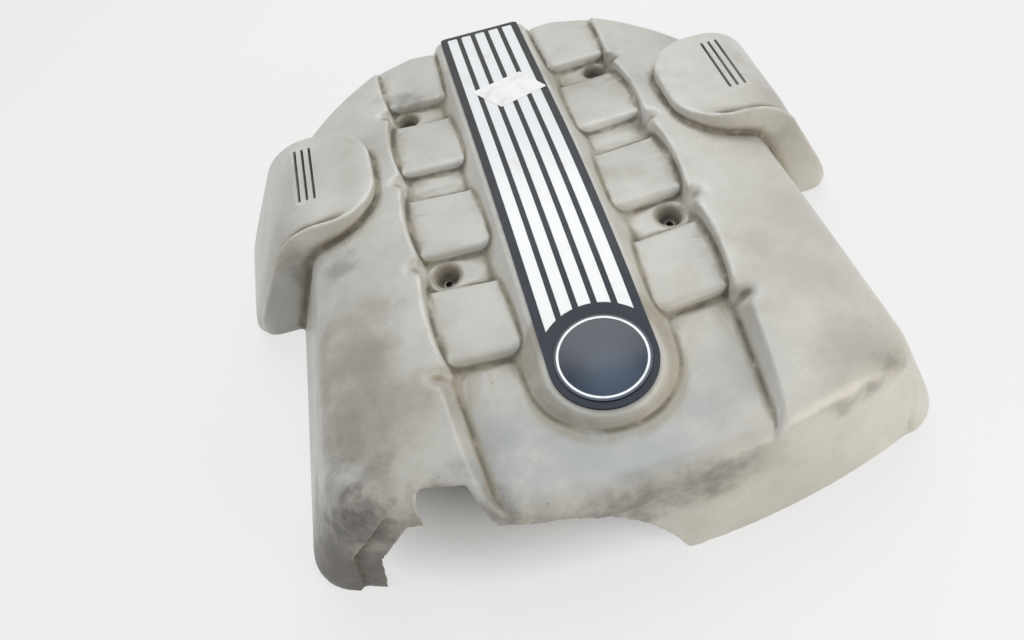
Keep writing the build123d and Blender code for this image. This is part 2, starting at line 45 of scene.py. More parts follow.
SHADE_MIDDLE = (0.0, -0.01, 0.0)
SHADE_REACH = (0.235, 0.268, 1.0)
SHADE_FADE = (0.3, 1.1)
ROOM_TINT = (0.97, 0.985, 1, 1)
ROOM_LEVEL = 0.45
CAMERA_PLACE = (-0.08165, -0.5467, 0.68251)
CAMERA_TURN = (36.367, 7.661, -13.555)
CAMERA_LENS = 31.64


def feed(tree, socket, value):
    """Give an input socket another node's output or a plain value."""
    if isinstance(value, bpy.types.NodeSocket):
        tree.links.new(value, socket)
    else:
        socket.default_value = value


def put(tree, kind, feeds, **settings):
    """Add a shader node; feeds gives its inputs a plain value or another node's output."""
    node = tree.nodes.new("ShaderNode" + kind)
    for name, value in settings.items():
        setattr(node, name, value)
    for socket, value in feeds.items():
        feed(tree, node.inputs[socket], value)
    return node


def new_material(name):
    """Material with a node tree, its Principled shader and its Object coordinates."""
    material = bpy.data.materials.new(name)
    material.use_nodes = True
    tree = material.node_tree
    places = put(tree, "TexCoord", {}).outputs["Object"]
    return material, tree, tree.nodes["Principled BSDF"], places


bpy.ops.object.select_all(action="DESELECT")
bpy.ops.mesh.primitive_plane_add(size=40, location=(0, 0, 0))
floor = bpy.context.object
floor.name = "bench_top"
bench, tree, shader, places = new_material("pale bench")
shader.inputs["Base Color"].default_value = BENCH_WHITE
shader.inputs["Roughness"].default_value = 0.9
shader.inputs["Specular IOR Level"].default_value = 0.1
rays = put(tree, "LightPath", {})
seen = put(tree, "Math", {0: rays.outputs["Is Camera Ray"], 1: rays.outputs["Is Glossy Ray"]})
seen = put(tree, "Math", {0: seen.outputs["Value"], 1: rays.outputs["Is Transmission Ray"]}, use_clamp=True)
across = put(tree, "VectorMath", {0: places, 1: SHADE_MIDDLE}, operation="SUBTRACT").outputs[0]
across = put(tree, "VectorMath", {0: across, 1: SHADE_REACH}, operation="DIVIDE").outputs[0]
across = put(tree, "VectorMath", {0: across, 1: across}, operation="MULTIPLY").outputs[0]
across = put(tree, "VectorMath", {0: across, 1: across}, operation="DOT_PRODUCT").outputs["Value"]
fade = {"Value": across, "From Min": SHADE_FADE[0], "From Max": SHADE_FADE[1], "To Max": BENCH_GLOW}
open_floor = put(tree, "MapRange", fade)
share = put(tree, "Math", {0: seen.outputs["Value"], 1: open_floor.outputs["Result"]}, operation="MULTIPLY")
glow = put(tree, "Emission", {"Color": BENCH_WHITE, "Strength": 1.0})
layers = {0: share.outputs["Value"], 1: shader.outputs["BSDF"], 2: glow.outputs["Emission"]}
mixed = put(tree, "MixShader", layers)
tree.links.new(mixed.outputs["Shader"], tree.nodes["Material Output"].inputs["Surface"])
floor.data.materials.append(bench)

scene = bpy.context.scene
scene.view_settings.view_transform = "Standard"
room = bpy.data.worlds.new("bright room")
room.use_nodes = True
room_light = room.node_tree.nodes["Background"]
room_light.inputs["Color"].default_value = ROOM_TINT
room_light.inputs["Strength"].default_value = ROOM_LEVEL
scene.world = room


def add_window(name, watts, colour, size, place, aim):
    """Soft round lamp at a place, turned to face the point that it is aimed at."""
    bpy.ops.object.light_add(type="AREA", location=place)
    lamp = bpy.context.object
    lamp.name = name
    lamp.data.energy = watts
    lamp.data.color = colour
    lamp.data.shape = "DISK"
    lamp.data.size = size
    ahead = np.subtract(aim, place)
    tilt = math.atan2(math.hypot(ahead[0], ahead[1]), -ahead[2])
    lamp.rotation_euler = (tilt, 0, math.atan2(-ahead[0], ahead[1]))


add_window("rear_window", 9.5, (1.0, 0.985, 0.96), 1.0, (0.2, 0.7, 1.2), (0.0, 0.0, 0.1))
add_window("front_window", 6.5, (1.0, 0.92, 0.8), 0.6, (0.75, -0.95, 0.45), (0.15, -0.2, 0.05))
add_window("left_window", 2.5, (1.0, 0.97, 0.94), 0.6, (-1.2, -0.1, 0.6), (-0.2, 0.0, 0.05))
add_window("sky_light", 2.5, (0.5, 0.75, 1.0), 0.5, (0.2, 0.22, 1.6), (0.0, -0.2, 0.1))
add_window("ceiling_light", 0.8, (0.95, 0.97, 1.0), 0.25, (0.1, -0.25, 1.6), (0.0, -0.2, 0.1))

bpy.ops.object.camera_add(location=CAMERA_PLACE, rotation=[math.radians(turn) for turn in CAMERA_TURN])
camera = bpy.context.object
camera.data.sensor_fit = "HORIZONTAL"
camera.data.sensor_width = 36
camera.data.lens = CAMERA_LENS
camera.data.clip_start = 0.01
scene.camera = camera

# Cover: one injection moulding in silver-grey filled nylon, dull with age and dirty in its hollows.
# Its ridges are softly rounded, so the solid's sharp edges are eased. Four screws, which aren't part
# of it, hold it down through its wells.
VOXEL = 0.0015
EASE_STEPS = 6
EASE_SHARE = 0.5
RIM_HEIGHT = 0.008
RIM_FOOT = 0.0005
RIM_STEPS = 15
DIP_X = 0.124
DIP_Y = (-0.152, -0.043, 0.0675, 0.181)
DIP_REACH = 0.018
DIP_CORE = 0.0108
DIP_STEPS = 30
EAR_X = (0.150, 0.190)
EAR_FRONT_Y = 0.025
EAR_CORNER_R = 0.048
EAR_CORNER_X = 0.188
DISH_LIP = (0.002, 0.006)
DISH_END = 0.036
DISH_DEPTH = 0.005
DISH_INWARD = 0.6
DISH_DOWN = 0.8
SLOT_X = (0.195, 0.202, 0.209)
SLOT_Y = 0.100
SLOT_LENGTH = 0.076
SLOT_WIDTH = 0.0026
SLOT_END_ROUND = 0.00117
SLOT_CUT_Z = 0.12
SLOT_CUT_HEIGHT = 0.06
PLUG_SIZE = (0.024, 0.084, 0.0026)
PLUG_Z = 0.1233
EAR_FALL = 0.07
COVER_FACES = 190000
COVER_SMOOTH_ANGLE = math.radians(60)
POOL_STEPS = 60
CREASE_STEPS = 8
MM_PER_METRE = 1000


def copy_of(node, name):
    """Merged copy of a CAD node's mesh, left active as a piece of its own."""
    bpy.ops.object.select_all(action="DESELECT")
    nodes[node].select_set(True)
    bpy.context.view_layer.objects.active = nodes[node]
    bpy.ops.object.duplicate()
    piece = bpy.context.object
    piece.name = name
    bpy.ops.object.mode_set(mode="EDIT")
    bpy.ops.mesh.select_all(action="SELECT")
    bpy.ops.mesh.remove_doubles(threshold=0.00001)
    bpy.ops.object.mode_set(mode="OBJECT")
    return piece


def finish_with(piece, kind, **settings):
    """Add a modifier to the active piece, set it and apply it."""
    modifier = piece.modifiers.new(kind.lower(), kind)
    for name, value in settings.items():
        setattr(modifier, name, value)
    bpy.ops.object.modifier_apply(modifier=modifier.name)


def vertex_places(mesh):
    """Coordinates of a mesh's vertices as one array."""
    flat = np.empty(3 * len(mesh.vertices), dtype=np.float32)
    mesh.vertices.foreach_get("co", flat)
    return flat.reshape(-1, 3).astype(float)


def eased(mesh, steps, share):
    """Vertex places after each has moved towards its neighbours, by its share of the way."""
    spots = vertex_places(mesh)
    count = len(spots)
    edges = np.empty(2 * len(mesh.edges), dtype=np.int32)
    mesh.edges.foreach_get("vertices", edges)
    one, other = edges.reshape(-1, 2).T
    neighbours = np.bincount(edges, minlength=count)
    for step in range(steps):
        for axis in range(3):
            along = spots[:, axis]
            total = np.bincount(one, along[other], count) + np.bincount(other, along[one], count)
            spots[:, axis] = along + share * (total / neighbours - along)
    return spots


def sinking(mesh, steps):
    """How far each vertex lies below its eased surroundings, along its normal, in metres."""
    normals = np.empty(3 * len(mesh.vertices), dtype=np.float32)
    mesh.vertex_normals.foreach_get("vector", normals)
    shift = eased(mesh, steps, EASE_SHARE) - vertex_places(mesh)
    return np.sum(shift * normals.reshape(-1, 3), axis=1)


def keep_values(mesh, name, values):
    """Store one number for each vertex as an attribute that a material can read."""
    attribute = mesh.attributes.new(name, "FLOAT", "POINT")
    attribute.data.foreach_set("value", values.astype(np.float32))


def ramp(values, low, high):
    """Rise from 0 at low to 1 at high with eased ends."""
    part = np.clip((values - low) / (high - low), 0, 1)
    return part * part * (3 - 2 * part)


def press_ear_dishes(spots):
    """Press a shallow dish behind the front lip of each ear into the vertex places."""
    x = np.abs(spots[:, 0])
    y = spots[:, 1]
    corner = np.hypot(x - EAR_CORNER_X, y - EAR_FRONT_Y - EAR_CORNER_R)
    margin = np.where(x < EAR_CORNER_X, EAR_CORNER_R - corner, y - EAR_FRONT_Y)
    depth = DISH_DEPTH * ramp(margin, *DISH_LIP) * ramp(margin, DISH_END, DISH_LIP[1]) * ramp(x, *EAR_X)
    depth[y > EAR_FRONT_Y + EAR_CORNER_R] = 0
    spots[:, 0] -= DISH_INWARD * np.sign(spots[:, 0]) * depth
    spots[:, 2] -= DISH_DOWN * depth * (spots[:, 2] > RIM_HEIGHT)


def soften_dips(mesh):
    """Ease the round dips at the cusps, so that they fade out over the humps as soft creases."""
    spots = vertex_places(mesh)
    share = np.zeros(len(spots))
    for y in DIP_Y:
        away = np.hypot(np.abs(spots[:, 0]) - DIP_X, spots[:, 1] - y)
        share = np.maximum(share, EASE_SHARE * ramp(away, DIP_REACH, DIP_CORE))
    share *= spots[:, 2] > RIM_HEIGHT
    mesh.vertices.foreach_set("co", eased(mesh, DIP_STEPS, share).ravel())


def even_rim(mesh):
    """Ease the lower rim, which the grid leaves wavy, and set it back down on the bench."""
    spots = vertex_places(mesh)
    bottom = spots[:, 2] < RIM_FOOT
    spots = eased(mesh, RIM_STEPS, EASE_SHARE * ramp(spots[:, 2], RIM_HEIGHT, RIM_HEIGHT / 2))
    lift = spots[bottom, 2].mean()
    spots[:, 2] = np.maximum(0, spots[:, 2] - lift * ramp(spots[:, 2], RIM_HEIGHT, 0))
    mesh.vertices.foreach_set("co", spots.ravel())


def close_slots(piece):
    """Fill the ears' slots inside the wall, so that the even grid doesn't leave them ragged."""
    tip = (-math.atan(EAR_FALL), 0, 0)
    for side in (-1, 1):
        bpy.ops.object.select_all(action="DESELECT")
        bpy.ops.mesh.primitive_cube_add(size=1, location=(side * SLOT_X[1], SLOT_Y, PLUG_Z), rotation=tip)
        bpy.context.object.scale = PLUG_SIZE
        bpy.ops.object.transform_apply(location=True, rotation=True, scale=True)
        piece.select_set(True)
        bpy.context.view_layer.objects.active = piece
        bpy.ops.object.join()


def slot_cutter():
    """One joined block for each ear slot, with round ends, through the ears' tops."""
    bpy.ops.object.select_all(action="DESELECT")
    blocks = []
    for x in [side * place for side in (-1, 1) for place in SLOT_X]:
        bpy.ops.mesh.primitive_cube_add(size=1, location=(x, SLOT_Y, SLOT_CUT_Z))
        block = bpy.context.object
        block.scale = (SLOT_WIDTH, SLOT_LENGTH, SLOT_CUT_HEIGHT)
        blocks.append(block)
    for block in blocks:
        block.select_set(True)
    bpy.ops.object.transform_apply(location=True, rotation=True, scale=True)
    bpy.ops.object.join()
    bpy.ops.object.mode_set(mode="EDIT")
    bpy.ops.mesh.select_all(action="DESELECT")
    bpy.ops.object.mode_set(mode="OBJECT")
    joined = bpy.context.object
    for edge in joined.data.edges:
        low, high = (joined.data.vertices[end].co for end in edge.vertices)
        edge.select = abs(low.z - high.z) > SLOT_CUT_HEIGHT / 2
    bpy.ops.object.mode_set(mode="EDIT")
    bpy.ops.mesh.bevel(offset=SLOT_END_ROUND, segments=3)
    bpy.ops.object.mode_set(mode="OBJECT")
    return joined


cover = copy_of("cover_body", "cover_moulding")
close_slots(cover)
finish_with(cover, "REMESH", mode="VOXEL", voxel_size=VOXEL)
spots = vertex_places(cover.data)
press_ear_dishes(spots)
cover.data.vertices.foreach_set("co", spots.ravel())
cover.data.vertices.foreach_set("co", eased(cover.data, EASE_STEPS, EASE_SHARE).ravel())
soften_dips(cover.data)
even_rim(cover.data)
keep_values(cover.data, "pool", MM_PER_METRE * sinking(cover.data, POOL_STEPS))
keep_values(cover.data, "crease", MM_PER_METRE * sinking(cover.data, CREASE_STEPS))
finish_with(cover, "DECIMATE", ratio=min(1, COVER_FACES / (2 * len(cover.data.polygons))))
cutter = slot_cutter()
bpy.ops.object.select_all(action="DESELECT")
cover.select_set(True)
bpy.context.view_layer.objects.active = cover
finish_with(cover, "BOOLEAN", operation="DIFFERENCE", object=cutter, solver="FAST")
bpy.ops.object.shade_smooth_by_angle(angle=COVER_SMOOTH_ANGLE)
bpy.data.objects.remove(cutter)


def new_group(name, takes, gives):
    """Empty node group with the sockets named; returns it with its two end nodes."""
    group = bpy.data.node_groups.new(name, "ShaderNodeTree")
    for socket, kind in takes.items():
        group.interface.new_socket(socket, in_out="INPUT", socket_type="NodeSocket" + kind)
    for socket in gives:
        group.interface.new_socket(socket, in_out="OUTPUT", socket_type="NodeSocketFloat")
    return group, group.nodes.new("NodeGroupInput").outputs, group.nodes.new("NodeGroupOutput").inputs


def smooth_step(tree, value, low, high):
    """Output that rises from 0 at low to 1 at high with eased ends."""
    feeds = {"Value": value, "From Min": low, "From Max": high}
    return put(tree, "MapRange", feeds, interpolation_type="SMOOTHSTEP").outputs["Result"]


def times(tree, one, other):
    """Product of two outputs or numbers."""
    return put(tree, "Math", {0: one, 1: other}, operation="MULTIPLY").outputs["Value"]


def blend(tree, mask, below, above):
    """Colour that goes from below to above as the mask goes from 0 to 1."""
    mix = put(tree, "Mix", {0: mask}, data_type="RGBA")
    for socket, colour in ((6, below), (7, above)):
        plain = isinstance(colour, tuple)
        feed(tree, mix.inputs[socket], (*colour, 1) if plain else colour)
    return mix.outputs[2]


def roughen(tree, shader, mask, least, most):
    """Roughness that goes from least to most as the mask goes from 0 to 1."""
    rough = put(tree, "MapRange", {"Value": mask, "To Min": least, "To Max": most})
    tree.links.new(rough.outputs["Result"], shader.inputs["Roughness"])


def noise_in(group, takes, detail, roughness):
    """Noise output inside a group, at the places and the scale that the group is given."""
    feeds = {"Vector": takes["Vector"], "Scale": takes["Scale"], "Detail": detail, "Roughness": roughness}
    return put(group, "TexNoise", feeds).outputs["Fac"]


# Cloud group: uneven patches of dirt, haze or wear, with soft edges
cloud, takes, gives = new_group(
    "cloud", {"Vector": "Vector", "Scale": "Float", "Low": "Float", "High": "Float"}, ["Mask"]
)
noise = noise_in(cloud, takes, 6.0, 0.62)
cloud.links.new(smooth_step(cloud, noise, takes["Low"], takes["High"]), gives["Mask"])

# Smudge group: one ragged stain round a place on the piece
RAGGEDNESS = 1.8
SMUDGE_EDGE = (1.75, 0.9)
smudge, takes, gives = new_group(
    "smudge", {"Vector": "Vector", "Place": "Vector", "Reach": "Vector", "Scale": "Float"}, ["Mask"]
)
ragged = noise_in(smudge, takes, 5.0, 0.65)
away = put(smudge, "VectorMath", {0: takes["Vector"], 1: takes["Place"]}, operation="SUBTRACT")
share = put(smudge, "VectorMath", {0: away.outputs[0], 1: takes["Reach"]}, operation="DIVIDE")
far = put(smudge, "VectorMath", {0: share.outputs[0]}, operation="LENGTH")
torn = put(smudge, "Math", {0: ragged, 1: RAGGEDNESS, 2: far.outputs["Value"]}, operation="MULTIPLY_ADD")
smudge.links.new(smooth_step(smudge, torn.outputs["Value"], *SMUDGE_EDGE), gives["Mask"])

# Grain group: the fine speckle of a moulded or rolled surface
grain, takes, gives = new_group("grain", {"Vector": "Vector", "Scale": "Float"}, ["Speckle"])
grain.links.new(noise_in(grain, takes, 2.0, 0.7), gives["Speckle"])


def use_group(tree, group, **feeds):
    """First output of a node group placed in a material."""
    node = tree.nodes.new("ShaderNodeGroup")
    node.node_tree = group
    for socket, value in feeds.items():
        feed(tree, node.inputs[socket], value)
    return node.outputs[0]


COVER_PALE = (0.565, 0.552, 0.512)
COVER_DULL = (0.45, 0.434, 0.394)
GRIME_AND_SHADE_BROWN = (0.275, 0.25, 0.205)
FILM_AND_SHEEN_GREY = (0.30, 0.315, 0.325)
ROLL_DIRT_AND_SHADE_BROWN = (0.165, 0.147, 0.118)
COVER_WEAR_AND_HIGHLIGHT = (0.74, 0.73, 0.69)
DUST_BROWN = (0.27, 0.235, 0.17)
OIL_AND_SHADE_BROWN = (0.07, 0.058, 0.045)
STAIN_AND_SHADE_GREY = (0.085, 0.074, 0.065)
BLOTCH_SHARE = 0.25
WEAR_AND_HIGHLIGHT_SHARE = 0.35
DUST_SHARE = 0.85
SPECK_SHARE = 0.7
CREASE_OIL_AND_SHADE_SHARE = 0.75
FLECK_EDGE = (0.40, 0.85)
COAT_SCALE = 16.0
STAIN_SCALE = 45.0
# Millimetres of sinking at which ridges are worn and get a painted highlight, hollows gather dust and
# creases are packed with oil and get painted shade
RIDGE_WEAR_AND_HIGHLIGHT = (-0.12, -0.5)
HOLLOW_DUSTY = (0.1, 0.9)
CREASE_OIL_AND_SHADE = (0.07, 0.3)
COLLAR_MIDDLE = (0, -0.178, 0.11)
COLLAR_INNER = (0.044, 0.052)
COLLAR_OUTER = (0.069, 0.062)
COLLAR_SHARE = 0.75
WELL_CORNERS = ("front_left", "front_right", "rear_left", "rear_right")
WELL_EDGE = (0.0165, 0.0125)
# Marks on the cover, each with its place, its reach and its strength
# Bluish-grey film over the front plateau: it darkens the plateau, and its blue tint is a painted reflection
# of the sky light
FILM_AND_SHEEN = (
    ((-0.030, -0.245, 0.105), (0.180, 0.065, 0.05), 0.75),
    ((-0.085, -0.205, 0.105), (0.060, 0.055, 0.05), 0.60),
    ((0.090, -0.215, 0.105), (0.060, 0.050, 0.05), 0.40),
)
# Brown marks: mostly grime on the ears, skirts and pads; the first darkens the left hump, and the second is
# grime and painted shade on the left leg
GRIME_AND_SHADE = (
    ((-0.195, -0.160, 0.100), (0.100, 0.180, 0.07), 0.90),
    ((-0.230, -0.270, 0.030), (0.180, 0.150, 0.17), 1.00),
    ((0.190, -0.225, 0.100), (0.080, 0.040, 0.05), 0.40),
    ((0.175, 0.060, 0.110), (0.035, 0.060, 0.04), 0.35),
    ((-0.165, 0.080, 0.110), (0.035, 0.070, 0.04), 0.40),
    ((-0.240, 0.045, 0.085), (0.070, 0.045, 0.08), 0.42),
    ((0.240, 0.045, 0.085), (0.070, 0.042, 0.08), 0.38),
    ((-0.075, 0.190, 0.100), (0.040, 0.030, 0.03), 0.40),
    ((0.075, 0.175, 0.100), (0.045, 0.040, 0.03), 0.45),
    ((0.075, 0.010, 0.100), (0.040, 0.025, 0.03), 0.40),
)
# Dark brown under the front roll and on the left leg: dirt and painted shade on faces turned down and away
# from the light
ROLL_DIRT_AND_SHADE = (
    ((-0.125, -0.272, 0.080), (0.070, 0.040, 0.06), 0.85),
    ((-0.065, -0.289, 0.076), (0.100, 0.036, 0.05), 0.90),
    ((0.015, -0.295, 0.076), (0.110, 0.036, 0.05), 0.90),
    ((0.085, -0.288, 0.080), (0.080, 0.032, 0.04), 0.60),
    ((-0.225, -0.270, 0.030), (0.150, 0.120, 0.14), 0.80),
)
# Near-black stains; those along the front roll's underside and low on the left leg are also painted shade
STAINS_AND_SHADE = (
    ((-0.206, -0.190, 0.101), (0.035, 0.030, 0.03), 0.28),
    ((-0.190, -0.210, 0.104), (0.028, 0.022, 0.03), 0.35),
    ((-0.222, -0.212, 0.092), (0.040, 0.035, 0.04), 0.35),
    ((-0.205, -0.240, 0.085), (0.055, 0.034, 0.045), 0.7),
    ((-0.215, -0.270, 0.030), (0.130, 0.100, 0.12), 0.70),
    ((-0.120, -0.266, 0.085), (0.070, 0.030, 0.04), 0.35),
    ((-0.055, -0.287, 0.078), (0.100, 0.028, 0.04), 0.40),
    ((0.030, -0.291, 0.078), (0.100, 0.028, 0.04), 0.35),
    ((0.100, -0.281, 0.084), (0.060, 0.024, 0.03), 0.30),
    ((0.205, -0.236, 0.095), (0.030, 0.014, 0.02), 0.45),
    ((0.186, -0.250, 0.090), (0.022, 0.012, 0.02), 0.50),
    ((0.153, -0.257, 0.092), (0.030, 0.006, 0.02), 0.45),
    ((0.122, -0.152, 0.106), (0.010, 0.008, 0.02), 0.45),
    ((-0.100, 0.205, 0.090), (0.034, 0.024, 0.03), 0.55),
    ((0.112, 0.180, 0.090), (0.030, 0.024, 0.03), 0.55),
    ((0.112, 0.070, 0.100), (0.020, 0.018, 0.02), 0.55),
    ((-0.225, 0.030, 0.085), (0.050, 0.020, 0.05), 0.40),
    ((0.225, 0.030, 0.085), (0.050, 0.020, 0.05), 0.25),
    ((-0.250, -0.245, 0.030), (0.070, 0.075, 0.09), 0.85),
    ((-0.185, -0.010, 0.108), (0.035, 0.022, 0.03), 0.40),
)

plastic, tree, shader, places = new_material("aged silver-grey plastic")
pool = put(tree, "Attribute", {}, attribute_name="pool").outputs["Fac"]
crease = put(tree, "Attribute", {}, attribute_name="crease").outputs["Fac"]
patches = use_group(tree, cloud, Vector=places, Scale=9.0, Low=0.36, High=0.68)
blotches = use_group(tree, cloud, Vector=places, Scale=24.0, Low=0.48, High=0.74)
flecks = use_group(tree, grain, Vector=places, Scale=900.0)
colour = blend(tree, patches, COVER_PALE, COVER_DULL)
colour = blend(tree, smooth_step(tree, flecks, *FLECK_EDGE), colour, COVER_DULL)
colour = blend(tree, times(tree, blotches, BLOTCH_SHARE), colour, GRIME_AND_SHADE_BROWN)
# Film, grime and roll marks: the film's blue tint is a painted reflection, and the roll marks and some
# grime marks are partly painted shade
for marks, tone in ((FILM_AND_SHEEN, FILM_AND_SHEEN_GREY), (GRIME_AND_SHADE, GRIME_AND_SHADE_BROWN), (ROLL_DIRT_AND_SHADE, ROLL_DIRT_AND_SHADE_BROWN)):
    for place, reach, strength in marks:
        coat = use_group(tree, smudge, Vector=places, Place=place, Reach=reach, Scale=COAT_SCALE)
        colour = blend(tree, times(tree, coat, strength), colour, tone)
# Lighter ridges: wear, with a painted highlight along the scallop edges
ridge_patches = use_group(tree, cloud, Vector=places, Scale=30.0, Low=0.35, High=0.6)
wear_and_highlight = times(tree, smooth_step(tree, crease, *RIDGE_WEAR_AND_HIGHLIGHT), ridge_patches)
colour = blend(tree, times(tree, wear_and_highlight, WEAR_AND_HIGHLIGHT_SHARE), colour, COVER_WEAR_AND_HIGHLIGHT)
settled = use_group(tree, cloud, Vector=places, Scale=22.0, Low=0.2, High=0.52)
sunk = smooth_step(tree, pool, *HOLLOW_DUSTY)
ring = put(tree, "VectorMath", {0: places, 1: COLLAR_MIDDLE}, operation="DISTANCE").outputs["Value"]
collar = times(tree, smooth_step(tree, ring, *COLLAR_INNER), COLLAR_SHARE)
collar = times(tree, collar, smooth_step(tree, ring, *COLLAR_OUTER))
deep = put(tree, "Math", {0: sunk, 1: collar}, operation="MAXIMUM").outputs["Value"]
level = put(tree, "VectorMath", {0: places, 1: (1, 1, 0)}, operation="MULTIPLY").outputs[0]
for corner in WELL_CORNERS:
    sleeve = vertex_places(nodes[f"sleeve_{corner}"].data)
    x, y = (sleeve.min(axis=0)[:2] + sleeve.max(axis=0)[:2]) / 2
    ring = put(tree, "VectorMath", {0: level, 1: (x, y, 0)}, operation="DISTANCE").outputs["Value"]
    inside = smooth_step(tree, ring, *WELL_EDGE)
    deep = put(tree, "Math", {0: deep, 1: inside}, operation="MAXIMUM").outputs["Value"]
dust = times(tree, deep, settled)
colour = blend(tree, times(tree, dust, DUST_SHARE), colour, DUST_BROWN)
# Stains, with painted shade on the front roll's underside and the left leg
for place, reach, strength in STAINS_AND_SHADE:
    stain = use_group(tree, smudge, Vector=places, Place=place, Reach=reach, Scale=STAIN_SCALE)
    colour = blend(tree, times(tree, stain, strength), colour, STAIN_AND_SHADE_GREY)
specks = use_group(tree, cloud, Vector=places, Scale=110.0, Low=0.70, High=0.76)
colour = blend(tree, times(tree, specks, SPECK_SHARE), colour, OIL_AND_SHADE_BROWN)
# Dark creases: oil packed into them, with painted shade that brings out the form
crease_patches = use_group(tree, cloud, Vector=places, Scale=35.0, Low=0.34, High=0.56)
crease_oil_and_shade = times(tree, smooth_step(tree, crease, *CREASE_OIL_AND_SHADE), crease_patches)
colour = blend(tree, times(tree, crease_oil_and_shade, CREASE_OIL_AND_SHADE_SHARE), colour, OIL_AND_SHADE_BROWN)
tree.links.new(colour, shader.inputs["Base Color"])
roughen(tree, shader, dust, 0.52, 0.85)
bump = put(tree, "Bump", {"Strength": 0.25, "Distance": 0.0002, "Height": flecks})
tree.links.new(bump.outputs["Normal"], shader.inputs["Normal"])
shader.inputs["Coat Weight"].default_value = 0.35
shader.inputs["Coat Roughness"].default_value = 0.28


def paint(piece, material):
    """Give a piece, or a CAD node that is shown as it is, one material."""
    piece.data.materials.clear()
    piece.data.materials.append(material)


paint(cover, plastic)
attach(cover, "root")
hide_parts("cover_body")

# Bushes and sleeves: black rubber bushes clipped into the floors of the screw wells, each with a
# zinc-plated steel sleeve that takes the clamping load of its screw.
RUBBER_BLACK = (0.035, 0.032, 0.028)
RUBBER_DUSTY = (0.16, 0.135, 0.10)
ZINC_GREY = (0.30, 0.29, 0.27)
ZINC_TARNISH = (0.10, 0.085, 0.065)

rubber, tree, shader, places = new_material("dusty bush rubber")
dust = use_group(tree, cloud, Vector=places, Scale=120.0, Low=0.35, High=0.6)
tree.links.new(blend(tree, dust, RUBBER_BLACK, RUBBER_DUSTY), shader.inputs["Base Color"])
roughen(tree, shader, dust, 0.6, 0.95)
zinc, tree, shader, places = new_material("tarnished zinc plate")
tarnish = use_group(tree, cloud, Vector=places, Scale=260.0, Low=0.35, High=0.62)
tree.links.new(blend(tree, tarnish, ZINC_GREY, ZINC_TARNISH), shader.inputs["Base Color"])
roughen(tree, shader, tarnish, 0.35, 0.7)
shader.inputs["Metallic"].default_value = 0.8
for corner in WELL_CORNERS:
    paint(nodes[f"bush_{corner}"], rubber)
    paint(nodes[f"sleeve_{corner}"], zinc)

# Trim: a charcoal strip in satin plastic, clipped along the top of the plinth. Its outer edge and the edges
# of its grooves are slightly rounded, and patchy dust and a painted sheen grey it towards the rear.
TRIM_CHARCOAL = (0.014, 0.019, 0.032)
TRIM_DUST_AND_SHEEN = (0.055, 0.056, 0.056)
SHEEN_REARWARD = (-0.12, 0.2)
DUST_PATCHY = 0.35
DUST_AND_SHEEN_SHARE = 0.75
EDGE_ROUND = 0.0004
FLAT_ANGLE = math.radians(0.1)
SHARP_ANGLE = math.radians(40)
SMOOTH_ANGLE = math.radians(35)


def round_edges(piece, width):
    """Join a piece's flat triangles into whole faces and round its sharp edges."""
    bpy.ops.object.mode_set(mode="EDIT")
    bpy.ops.mesh.select_all(action="SELECT")
    bpy.ops.mesh.dissolve_limited(angle_limit=FLAT_ANGLE)
    bpy.ops.object.mode_set(mode="OBJECT")
    corners = {"limit_method": "ANGLE", "angle_limit": SHARP_ANGLE, "use_clamp_overlap": True}
    finish_with(piece, "BEVEL", width=width, segments=2, **corners)
    bpy.ops.object.shade_smooth_by_angle(angle=SMOOTH_ANGLE)
    finish_with(piece, "WEIGHTED_NORMAL", keep_sharp=True)


charcoal, tree, shader, places = new_material("satin charcoal plastic")
dust_patches = use_group(tree, cloud, Vector=places, Scale=14.0, Low=0.3, High=0.75)
# Greyer towards the rear: a painted sheen, with patchy dust over it
rear = smooth_step(tree, put(tree, "SeparateXYZ", {0: places}).outputs["Y"], *SHEEN_REARWARD)
dusty = put(tree, "Math", {0: dust_patches, 1: DUST_PATCHY, 2: rear}, operation="MULTIPLY_ADD").outputs["Value"]
dusty = times(tree, dusty, DUST_AND_SHEEN_SHARE)
tree.links.new(blend(tree, dusty, TRIM_CHARCOAL, TRIM_DUST_AND_SHEEN), shader.inputs["Base Color"])
roughen(tree, shader, dust_patches, 0.38, 0.55)
shader.inputs["Specular IOR Level"].default_value = 0.25
trim = copy_of("trim_strip", "trim_moulding")
round_edges(trim, EDGE_ROUND)
paint(trim, charcoal)
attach(trim, "root")
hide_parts("trim_strip")

# Bars: five white strips pressed into the trim's grooves and a little proud of it, with a few
# faint marks from handling.
BAR_WHITE = (0.76, 0.765, 0.77)
BAR_MARKED = (0.66, 0.65, 0.625)
BAR_ROUND = 0.0002

white, tree, shader, places = new_material("smooth white plastic")
marks = use_group(tree, cloud, Vector=places, Scale=28.0, Low=0.55, High=0.8)
tree.links.new(blend(tree, marks, BAR_WHITE, BAR_MARKED), shader.inputs["Base Color"])
roughen(tree, shader, marks, 0.28, 0.5)
for number in range(1, 6):
    bar = copy_of(f"stripe_{number}", f"white_bar_{number}")
    round_edges(bar, BAR_ROUND)
    paint(bar, white)
    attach(bar, "root")
    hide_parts(f"stripe_{number}")

# Badge: a plain disc in dark blue enamel under a clear dome, stuck in the trim's round seat, with
# a thin silver-white ring let into its rim.
BADGE_BLUE = (0.010, 0.016, 0.034)
BADGE_BLUE_PALE = (0.016, 0.024, 0.046)
RING_SILVER = (0.82, 0.82, 0.82)
RING_DULL = (0.66, 0.66, 0.65)

